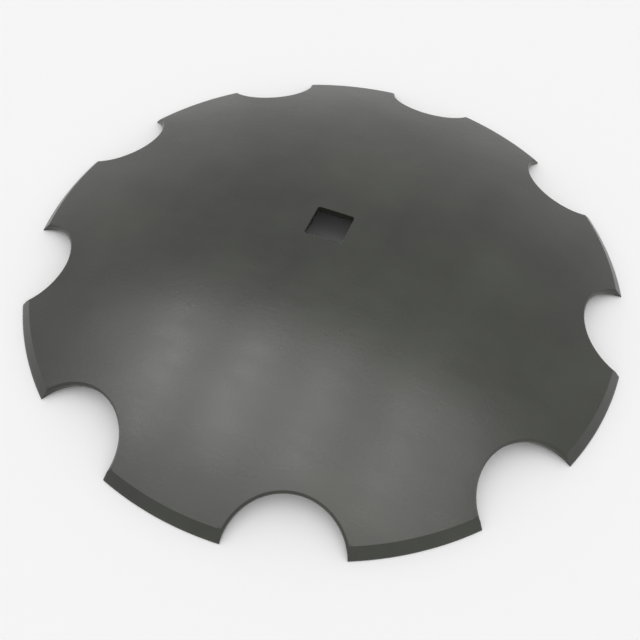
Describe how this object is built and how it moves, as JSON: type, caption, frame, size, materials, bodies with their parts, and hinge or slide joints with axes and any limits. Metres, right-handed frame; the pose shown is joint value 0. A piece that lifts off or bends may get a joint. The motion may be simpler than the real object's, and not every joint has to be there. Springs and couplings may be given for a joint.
{
  "type": "disc harrow blade",
  "caption": "Dished round steel harrow blade with round notches in its rim, a bevelled cutting edge and a square axle hole; cuts and turns soil.",
  "frame": {"origin": "centre of the plane of the cutting edge, under the middle of the axle hole", "axes": "+Z along the axle, out of the convex side; X and Y parallel to the flats of the square axle hole; one notch lies at 45 degrees between +X and +Y"},
  "size_m": [0.4565, 0.4565, 0.0412],
  "materials": {
    "blade_steel": "dark olive grey hardened steel under thin clear lacquer, satin"
  },
  "bodies": {
    "root": {"disc_blade": "blade_steel"}
  },
  "joints": []
}
